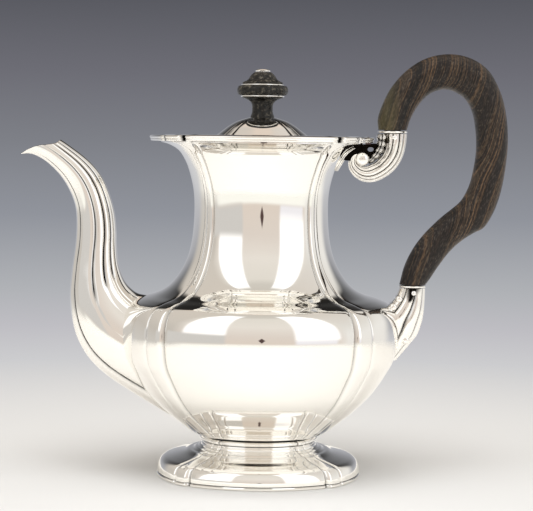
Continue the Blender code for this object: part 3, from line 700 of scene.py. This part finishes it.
def knob(name, x, z, radius, half):
    """A rolled end: a short bar across the piece with round, slightly raised faces."""
    rows = [(0.02, -half), (0.35, -half + 0.03), (0.62, -half + 0.2), (0.84, -half + 0.6),
            (0.97, -half + 1.2), (1.0, -half + 1.8)]
    rows += [(share, -place) for share, place in rows[::-1]]
    rings = round_rings([(radius * share, place) for share, place in rows], 36, (x, z), ALONG_Y)
    return mesh_object(name, rings, marks={"groove": np.zeros((len(rows), 36))})


def make_bracket():
    """The plate between rim and scroll, painted near black as the shade under the rim, with a
    small window through it.
    """
    outline = spline(BRACKET_OUTLINE + BRACKET_OUTLINE[:1], 0.8)[:-1]
    x, z, half_x, half_z = BRACKET_WINDOW
    turn = np.arctan2(outline[:, 1] - z, outline[:, 0] - x)
    window = np.stack((x + half_x * np.cos(turn), z + half_z * np.sin(turn)), axis=-1)
    rings = [np.stack((line[:, 0], np.full(len(line), y), line[:, 1]), axis=-1)
             for line, y in ((outline, -BRACKET_HALF), (outline, BRACKET_HALF),
                             (window, BRACKET_HALF), (window, -BRACKET_HALF))]
    # A mark of 2.0 paints the whole plate black as shade.
    return mesh_object("bracket", rings, closed=True,
                       marks={"groove": np.full((4, len(outline)), 2.0)})


def make_upper_socket():
    pieces = [
        reeded_mesh("scroll", UPPER_SCROLL_STATIONS, UPPER_SCROLL_GROOVES, 0.05, 0.13,
                    fade_end=True),
        # The leaf under the rim gets painted shade all over.
        reeded_mesh("leaf", UPPER_LEAF_STATIONS, (24.0, 95.0), 0.04, 0.16, 0.2, 5, stain=0.3),
        reeded_mesh("neck_leaf", NECK_LEAF_STATIONS, (90.0,), 0.03, 0.08, 0.12, 2),
        knob("volute", *VOLUTE),
        make_bracket(),
    ]
    return merge("upper_scroll", pieces)


def make_lower_socket():
    """The calyx under the handle, with painted shade in the hollow below its pin, and its small
    curls.
    """
    angle, rings, marks = reeded(LOWER_SOCKET_STATIONS, LOWER_GROOVES, 0.05, 0.13, width=12.0)
    off = np.minimum(angle, 360.0 - angle)
    # Painted shade: the hollow below the pin is marked black.
    for row, t in enumerate(np.linspace(0.0, 1.0, len(rings))):
        reach = PIN_SHADE_REACH * (1.0 - t / 0.2)
        if reach > 1.0:
            hollow = np.clip(1.6 - 1.6 * abs(off - 92.0) / reach, 0.0, 1.2)
            marks[row] = np.maximum(marks[row], hollow)
    pieces = [mesh_object("calyx", rings, marks={"groove": marks}, sharp=60.0)]
    pieces += [knob("curl", *place) for place in LOWER_KNOBS]
    return merge("lower_leaf", pieces)


def make_ferrules():
    """The plain bright bands at the ends of the grip, round at the edge."""
    made = {}
    for node, name in (("upper_ferrule", "ferrule_upper"), ("lower_ferrule", "ferrule_lower")):
        low, high = node_box(node)
        centre = (low + high) / 2.0
        reach, _, half = (high - low) / 2.0
        edge = arc((reach - half * 0.8, centre[2]), half * 0.8, -90.0, 90.0, 9)
        edge = [(r, centre[2] + (z - centre[2]) / 0.8) for r, z in edge]
        rows = [(3.5, low[2])] + edge + [(3.5, high[2])]
        made[node] = turned(name, rows, centre=(centre[0], centre[1]))
    return made


def make_pins():
    made = {}
    for node, name in (("upper_handle_pin", "pin_upper"), ("lower_handle_pin", "pin_lower")):
        low, high = node_box(node)
        centre, half = (low + high) / 2.0, high[1]
        rows = [(0.0001, -half), (0.5, -half + 0.08), (0.85, -half + 0.35), (0.9, -half + 0.7),
                (0.9, half - 0.7), (0.85, half - 0.35), (0.5, half - 0.08), (0.0001, half)]
        made[node] = mesh_object(name, round_rings(rows, 28, centre[[0, 2]], ALONG_Y))
    return made


# ---------------------------------------------------------------- materials

class Shader:
    """Short calls that build one node material."""

    def __init__(self, name):
        self.material = bpy.data.materials.new(name)
        self.material.use_nodes = True
        self.tree = self.material.node_tree
        self.main = self.tree.nodes["Principled BSDF"]

    def node(self, kind, settings=None, **links):
        made = self.tree.nodes.new(kind)
        for key, value in (settings or {}).items():
            setattr(made, key, value)
        for key, value in links.items():
            self.feed(made.inputs[key.replace("_", " ")], value)
        return made

    def feed(self, socket, value):
        if isinstance(value, bpy.types.NodeSocket):
            self.tree.links.new(value, socket)
        else:
            socket.default_value = value

    def math(self, operation, *values):
        made = self.node("ShaderNodeMath", {"operation": operation})
        for socket, value in zip(made.inputs, values):
            self.feed(socket, value)
        return made.outputs[0]

    def mix(self, factor, first, second):
        made = self.node("ShaderNodeMix", {"data_type": "RGBA"}, Factor=factor, A=first, B=second)
        return made.outputs["Result"]

    def noise(self, scale, detail=2.0, vector=None):
        made = self.node("ShaderNodeTexNoise", Scale=scale, Detail=detail,
                         Vector=vector if vector is not None else self.place())
        return made.outputs["Fac"]

    def place(self):
        if not hasattr(self, "position"):
            self.position = self.node("ShaderNodeTexCoord").outputs["Object"]
        return self.position

    def ramp(self, value, stops):
        made = self.node("ShaderNodeValToRGB")
        made.color_ramp.elements.remove(made.color_ramp.elements[-1])
        for index, (at, colour) in enumerate(stops):
            stop = made.color_ramp.elements[0] if index == 0 else made.color_ramp.elements.new(at)
            stop.position = at
            stop.color = (*colour, 1.0)
        self.feed(made.inputs["Fac"], value)
        return made.outputs["Color"]

    def span(self, value, low, high, to_low, to_high):
        """The value's way from low to high, as a number between to_low and to_high."""
        made = self.node("ShaderNodeMapRange", Value=value, From_Min=low, From_Max=high,
                         To_Min=to_low, To_Max=to_high)
        return made.outputs["Result"]

    def bump(self, height, strength, distance):
        made = self.node("ShaderNodeBump", Strength=strength, Distance=distance, Height=height)
        self.feed(self.main.inputs["Normal"], made.outputs["Normal"])

    def attribute(self, name):
        return self.node("ShaderNodeAttribute", {"attribute_name": name}).outputs["Fac"]


def silver(name, tone=(0.955, 0.94, 0.91), dull=0.045):
    """Polished silver: faint haze, painted black shade in the grooves and other dark hollows, warm
    gilt inside the spout.
    """
    s = Shader(name)
    haze = s.noise(90.0, 4.0)
    colour = s.ramp(haze, [(0.3, tuple(0.985 * c for c in tone)), (0.7, tone)])
    gilt = s.math("MULTIPLY", s.attribute("inside"), 0.75)
    colour = s.mix(gilt, colour, (0.60, 0.36, 0.19, 1.0))
    # The groove mark carries painted shade: it turns grooves, the plate under the rim and the
    # hollow below the lower pin near black.
    mark = s.attribute("groove")
    painted_shade = s.math("MULTIPLY", mark, s.span(s.noise(160.0, 3.0), 0.3, 0.7, 0.75, 1.0))
    painted_shade = s.span(painted_shade, 0.0, 1.0, 0.0, 1.0)      # the span also keeps it within 0 and 1
    colour = s.mix(painted_shade, colour, (0.006, 0.005, 0.004, 1.0))
    s.feed(s.main.inputs["Base Color"], colour)
    s.main.inputs["Metallic"].default_value = 1.0
    rough = s.span(haze, 0.3, 0.75, dull * 0.7, dull * 1.4)
    s.feed(s.main.inputs["Roughness"], s.math("ADD", rough, s.math("MULTIPLY", painted_shade, 0.25)))
    return s.material


def striped_wood(name):
    """Near-black hardwood with narrow tan stripes and open pores, rubbed to a satin, with a
    painted olive sheen near the upper ferrule.
    """
    s = Shader(name)
    split = s.node("ShaderNodeSeparateXYZ", Vector=s.place())
    lean = math.radians(17.0)
    across = s.math("ADD", s.math("MULTIPLY", split.outputs["X"], math.cos(lean)),
                    s.math("MULTIPLY", split.outputs["Z"], -math.sin(lean)))
    across = s.math("ADD", across, s.math("MULTIPLY", split.outputs["Y"], 0.3))
    sway = s.math("MULTIPLY", s.math("SUBTRACT", s.noise(26.0, 2.0), 0.5), 0.006)
    across = s.math("ADD", across, sway)
    grain = s.node("ShaderNodeCombineXYZ", X=across)
    wide = s.noise(260.0, 2.0, grain.outputs[0])
    thin = s.noise(1300.0, 2.0, grain.outputs[0])
    along = s.node("ShaderNodeCombineXYZ", X=across, Y=split.outputs["Y"],
                   Z=s.math("MULTIPLY", split.outputs["Z"], 0.25))
    pores = s.noise(2600.0, 2.0, along.outputs[0])
    colour = s.ramp(wide, [(0.30, (0.034, 0.024, 0.017)), (0.42, (0.004, 0.003, 0.003)),
                           (0.52, (0.016, 0.011, 0.009)), (0.62, (0.042, 0.028, 0.018)),
                           (0.70, (0.005, 0.004, 0.003))])
    for level, width, strength in ((0.455, 0.017, 0.6), (0.56, 0.032, 0.8), (0.37, 0.014, 0.5)):
        edge = s.math("ABSOLUTE", s.math("SUBTRACT", wide, level))
        line = s.math("MULTIPLY", s.span(edge, 0.0, width, strength, 0.0),
                      s.span(thin, 0.35, 0.6, 0.35, 1.0))
        colour = s.mix(line, colour, (0.175, 0.10, 0.05, 1.0))
    colour = s.mix(s.span(pores, 0.48, 0.66, 0.0, 0.8), colour, (0.003, 0.002, 0.002, 1.0))
    colour = s.mix(s.span(pores, 0.44, 0.30, 0.0, 0.4), colour, (0.13, 0.105, 0.08, 1.0))
    # Painted sheen: an olive-yellow reflection on the grip's end next to the pot, high up.
    sheen_near_pot = s.span(split.outputs["X"], 0.044, 0.052, 1.0, 0.0)
    painted_sheen = s.math("MULTIPLY", sheen_near_pot, s.span(split.outputs["Z"], 0.125, 0.13, 0.0, 0.6))
    painted_sheen = s.math("MULTIPLY", painted_sheen, s.span(wide, 0.4, 0.6, 0.25, 1.0))
    colour = s.mix(painted_sheen, colour, (0.15, 0.13, 0.055, 1.0))
    s.feed(s.main.inputs["Base Color"], colour)
    s.feed(s.main.inputs["Roughness"], s.span(pores, 0.3, 0.7, 0.34, 0.52))
    s.main.inputs["Specular IOR Level"].default_value = 0.32
    s.bump(pores, 0.35, 0.0002)
    return s.material


def black_wood(name):
    """Near-black turned wood with worn, greyish pores."""
    s = Shader(name)
    grain = s.noise(900.0, 4.0)
    colour = s.ramp(grain, [(0.40, (0.002, 0.002, 0.0015)), (0.55, (0.012, 0.010, 0.008)),
                            (0.68, (0.09, 0.08, 0.062))])
    s.feed(s.main.inputs["Base Color"], colour)
    s.feed(s.main.inputs["Roughness"], s.span(grain, 0.3, 0.7, 0.25, 0.5))
    s.main.inputs["Specular IOR Level"].default_value = 0.35
    s.bump(grain, 0.5, 0.0003)
    return s.material


# ---------------------------------------------------------------- studio

CAMERA_PLACE = (2.2, -720.0, 128.6)
CAMERA_DOWN = 3.6        # degrees
CAMERA_ROLL = 0.7
CAMERA_LENS = 128.33     # on a sensor 36 mm wide
BACKDROP_PROFILE = [     # radius, height
    (1.0, 0.0), (250.0, 0.0), (500.0, 0.0), (1150.0, 0.0), (1450.0, 90.0), (1620.0, 330.0),
    (1680.0, 800.0), (1690.0, 2000.0),
]
BACKDROP_SIDES = 96
FLOOR_NEAR = (120.0, 380.0)   # radii between which the lit floor passes into the backdrop's painted glow
BACKDROP_GLOW = [             # degrees above the camera's level, and the glow painted on the paper there: light low down, shade higher up
    (-11.0, (0.955, 0.955, 0.955)), (-8.9, (0.745, 0.730, 0.716)), (-7.8, (0.686, 0.679, 0.679)),
    (-6.7, (0.610, 0.610, 0.623)), (-5.7, (0.521, 0.515, 0.546)), (-4.6, (0.434, 0.445, 0.468)),
    (-2.4, (0.283, 0.296, 0.332)), (-0.2, (0.209, 0.216, 0.242)), (1.9, (0.153, 0.153, 0.178)),
    (4.1, (0.100, 0.102, 0.119)), (14.0, (0.05, 0.05, 0.06)),
]


def srgb(red, green, blue):
    """A display colour, 0 to 255, as a linear one."""
    return tuple((c / 255.0 / 12.92) if c <= 10.0 else ((c / 255.0 + 0.055) / 1.055) ** 2.4
                 for c in (red, green, blue))


class World(Shader):
    """The same short calls on the world's nodes, with a direction's two angles."""

    def __init__(self, tree):
        self.tree = tree
        place = self.node("ShaderNodeTexCoord").outputs["Generated"]
        split = self.node("ShaderNodeSeparateXYZ", Vector=place)
        x, y, z = (split.outputs[axis] for axis in "XYZ")
        to_degrees = 180.0 / math.pi
        self.height = self.math("MULTIPLY", self.math("ARCSINE", z), to_degrees)
        back = self.math("MULTIPLY", y, -1.0)
        self.side = self.math("MULTIPLY", self.math("ARCTAN2", x, back), to_degrees)
        self.apart = self.math("ABSOLUTE", self.side)

    def step(self, value, at, soft):
        made = self.node("ShaderNodeMapRange", {"interpolation_type": "SMOOTHSTEP"}, Value=value,
                         From_Min=at - soft, From_Max=at + soft)
        return made.outputs["Result"]

    def within(self, value, low, high, soft):
        return self.math("MULTIPLY", self.step(value, low, soft),
                         self.math("SUBTRACT", 1.0, self.step(value, high, soft)))

    def patch(self, side, height, soft_side=1.0, soft_height=1.5):
        """Mask of a rectangle of sky, from (low, high) azimuths and elevations."""
        return self.math("MULTIPLY", self.within(self.side, *side, soft_side),
                         self.within(self.height, *height, soft_height))

    def by_height(self, stops):
        """A ramp over the elevation, from (degrees, red, green, blue), colours 0 to 255."""
        share = self.span(self.height, -90.0, 90.0, 0.0, 1.0)
        return self.ramp(share, [((at + 90.0) / 180.0, srgb(*tone)) for at, *tone in stops])


def light_world():
    """What the silver sees: a bright floor, two upright softboxes, pale walls, a dark back."""
    world = bpy.data.worlds.new("studio")
    bpy.context.scene.world = world
    world.use_nodes = True
    w = World(world.node_tree)
    front = w.by_height([
        (-90, 255, 253, 245), (-8, 255, 254, 246), (-5.5, 222, 210, 199), (8, 222, 212, 203),
        (30, 232, 226, 218), (60, 226, 221, 212), (68, 208, 203, 194), (90, 204, 198, 188),
    ])
    back = w.by_height([
        (-90, 250, 248, 240), (-35, 232, 230, 227), (-18, 212, 212, 214), (-8, 200, 201, 205),
        (0, 176, 177, 182), (8, 152, 153, 158), (15, 122, 123, 126), (22, 88, 88, 90),
        (29, 54, 53, 52), (38, 36, 35, 34), (49, 42, 39, 36), (52, 228, 212, 198),
        (90, 222, 208, 194),
    ])
    right = w.by_height([
        (-90, 255, 253, 244), (-12, 248, 246, 240), (-6, 236, 233, 228), (10, 236, 234, 230),
        (26, 226, 223, 217), (40, 222, 217, 210), (90, 212, 203, 192),
    ])
    left = w.by_height([
        (-90, 250, 246, 232), (-12, 236, 233, 226), (-6, 204, 200, 194), (10, 196, 190, 182),
        (30, 206, 199, 190), (90, 212, 203, 192),
    ])
    sides = w.mix(w.step(w.side, 0.0, 5.0), left, right)
    sky = w.mix(w.step(w.apart, 62.0, 8.0), front, sides)
    turned_away = w.math("SUBTRACT", w.apart, w.span(w.height, 0.0, 34.0, 134.0, 152.0))
    sky = w.mix(w.step(turned_away, 0.0, 9.0), sky, back)
    grey = w.patch((-80.0, -25.0), (-6.5, 10.0), 2.0, 2.5)
    sky = w.mix(grey, sky, (*srgb(208, 205, 201), 1.0))
    lilac = w.patch((26.0, 58.0), (-6.5, 1.0), 2.0, 2.0)
    sky = w.mix(lilac, sky, (*srgb(242, 240, 244), 1.0))
    boxes = w.math("MAXIMUM", w.patch((-58.0, -25.0), (10.0, 73.0), 2.2, 4.0),
                   w.patch((26.0, 60.0), (0.5, 73.0), 2.2, 4.0))
    sky = w.mix(boxes, sky, (1.25, 1.25, 1.25, 1.0))
    aside = w.math("DIVIDE", w.math("ABSOLUTE", w.math("SUBTRACT", w.side, 1.5)), 2.6)
    above = w.math("DIVIDE", w.math("ABSOLUTE", w.height), 5.0)
    lens = w.math("SUBTRACT", 1.0, w.step(w.math("ADD", aside, above), 0.95, 0.15))
    sky = w.mix(lens, sky, (*srgb(84, 66, 64), 1.0))
    background = w.tree.nodes["Background"]
    w.feed(background.inputs["Color"], sky)
    background.inputs["Strength"].default_value = 1.04


def studio():
    """Pale floor that rises into a backdrop with painted, glowing light and shade, the lights and
    the camera.
    """
    profile = spline(BACKDROP_PROFILE, 25.0)
    sides = BACKDROP_SIDES
    rings = round_rings(profile, sides)
    level = [math.degrees(math.atan2(z - CAMERA_PLACE[2], r - CAMERA_PLACE[1]))
             for r, z in profile]
    level = np.repeat(level, sides)
    faces = ring_faces(np.arange(len(rings) * sides).reshape(len(rings), sides))
    faces.append(list(range(sides))[::-1])
    mesh = bpy.data.meshes.new("backdrop")
    mesh.from_pydata((np.array(rings).reshape(-1, 3) * MM).tolist(), [], faces)
    mesh.attributes.new("level", "FLOAT", "POINT").data.foreach_set("value", level)
    mesh.shade_smooth()
    sweep = bpy.data.objects.new("backdrop", mesh)
    bpy.context.scene.collection.objects.link(sweep)
    mesh.materials.append(paper())
    light_world()
    lamp = bpy.data.lights.new("overhead", "AREA")
    lamp.size = 0.9
    lamp.energy = 9.0
    holder = bpy.data.objects.new("overhead", lamp)
    holder.location = (0.0, -0.35, 1.0)
    holder.rotation_euler = (math.radians(-19.0), 0.0, 0.0)
    holder.visible_glossy = False
    holder.visible_camera = False
    bpy.context.scene.collection.objects.link(holder)
    place_camera()


def paper():
    """Matt pale paper under the pot, which the camera sees a darker grey than reflections do;
    further off a glow graded from light to dark, painted light and shade seen by the camera.
    """
    s = Shader("paper")
    split = s.node("ShaderNodeSeparateXYZ", Vector=s.place())
    flat = s.node("ShaderNodeCombineXYZ", X=split.outputs["X"], Y=split.outputs["Y"])
    radius = s.node("ShaderNodeVectorMath", {"operation": "LENGTH"}, Vector=flat.outputs[0])
    radius = radius.outputs["Value"]
    low, high = BACKDROP_GLOW[0][0], BACKDROP_GLOW[-1][0]
    share = s.span(s.attribute("level"), low, high, 0.0, 1.0)
    tone = s.ramp(share, [((at - low) / (high - low), colour) for at, colour in BACKDROP_GLOW])
    # Painted light and shade: the far paper glows with the graded tone instead of being lit.
    glow = s.node("ShaderNodeEmission", Color=tone)
    camera = s.node("ShaderNodeLightPath").outputs["Is Camera Ray"]
    s.feed(s.main.inputs["Base Color"], s.mix(camera, (0.86, 0.85, 0.82, 1.0),
                                              (0.69, 0.69, 0.685, 1.0)))
    s.main.inputs["Roughness"].default_value = 0.9
    s.main.inputs["Specular IOR Level"].default_value = 0.0
    blend = s.node("ShaderNodeMixShader")
    near, far = (value * MM for value in FLOOR_NEAR)
    s.feed(blend.inputs["Fac"], s.math("MULTIPLY", s.span(radius, near, far, 0.0, 1.0), camera))
    s.feed(blend.inputs[1], s.main.outputs[0])
    s.feed(blend.inputs[2], glow.outputs[0])
    clear = s.node("ShaderNodeBsdfTransparent")
    seen = s.math("MAXIMUM", camera, s.span(radius, 0.3, 0.45, 1.0, 0.0))
    final = s.node("ShaderNodeMixShader")
    s.feed(final.inputs["Fac"], seen)
    s.feed(final.inputs[1], clear.outputs[0])
    s.feed(final.inputs[2], blend.outputs[0])
    s.feed(s.tree.nodes["Material Output"].inputs["Surface"], final.outputs[0])
    return s.material


def place_camera():
    """The camera level with the rim, tilted down and rolled a little."""
    data = bpy.data.cameras.new("camera")
    data.sensor_width = 36.0
    data.lens = CAMERA_LENS
    data.clip_start = 0.01
    camera = bpy.data.objects.new("camera", data)
    bpy.context.scene.collection.objects.link(camera)
    tilt = Matrix.Rotation(math.radians(90.0 - CAMERA_DOWN), 4, "X")
    roll = Matrix.Rotation(math.radians(CAMERA_ROLL), 4, "Z")
    place = Matrix.Translation([value * MM for value in CAMERA_PLACE])
    camera.matrix_world = place @ tilt @ roll
    bpy.context.scene.camera = camera


# ---------------------------------------------------------------- assembly

def dress(piece, node, body, material):
    """Put a fine piece in place of a CAD node, with its finish."""
    piece.data.materials.clear()
    piece.data.materials.append(material)
    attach(piece, body)
    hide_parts(node)


def main():
    metal = silver("silver")
    wood = striped_wood("handle_wood")
    dark = black_wood("finial_wood")
    foot, base, collar = make_foot()
    for piece, node in ((make_body(), "body_shell"), (make_rim(), "rim_moulding"), (foot, "foot"),
                        (base, "foot_base_wire"), (collar, "foot_collar"),
                        (make_spout(), "spout"), (make_upper_socket(), "upper_socket"),
                        (make_lower_socket(), "lower_socket")):
        dress(piece, node, "pot", metal)
    for node, piece in {**make_ferrules(), **make_pins()}.items():
        dress(piece, node, "pot", metal)
    dress(make_handle(), "handle", "pot", wood)
    dress(make_lid(), "lid", "lid", metal)
    dress(make_bezel(), "lid_bezel", "lid", metal)
    for node, piece in make_finial().items():
        wooden = node in ("finial_stem", "finial_bead", "finial_crown")
        dress(piece, node, "lid", dark if wooden else metal)
    for node in ("body_hinge_leaf", "hinge_pin", "lid_hinge_leaf", "finial_washer", "finial_nut"):
        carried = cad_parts[node]
        carried.data.materials.clear()
        carried.data.materials.append(metal)
    studio()
    bpy.context.scene.view_settings.view_transform = "Standard"


main()
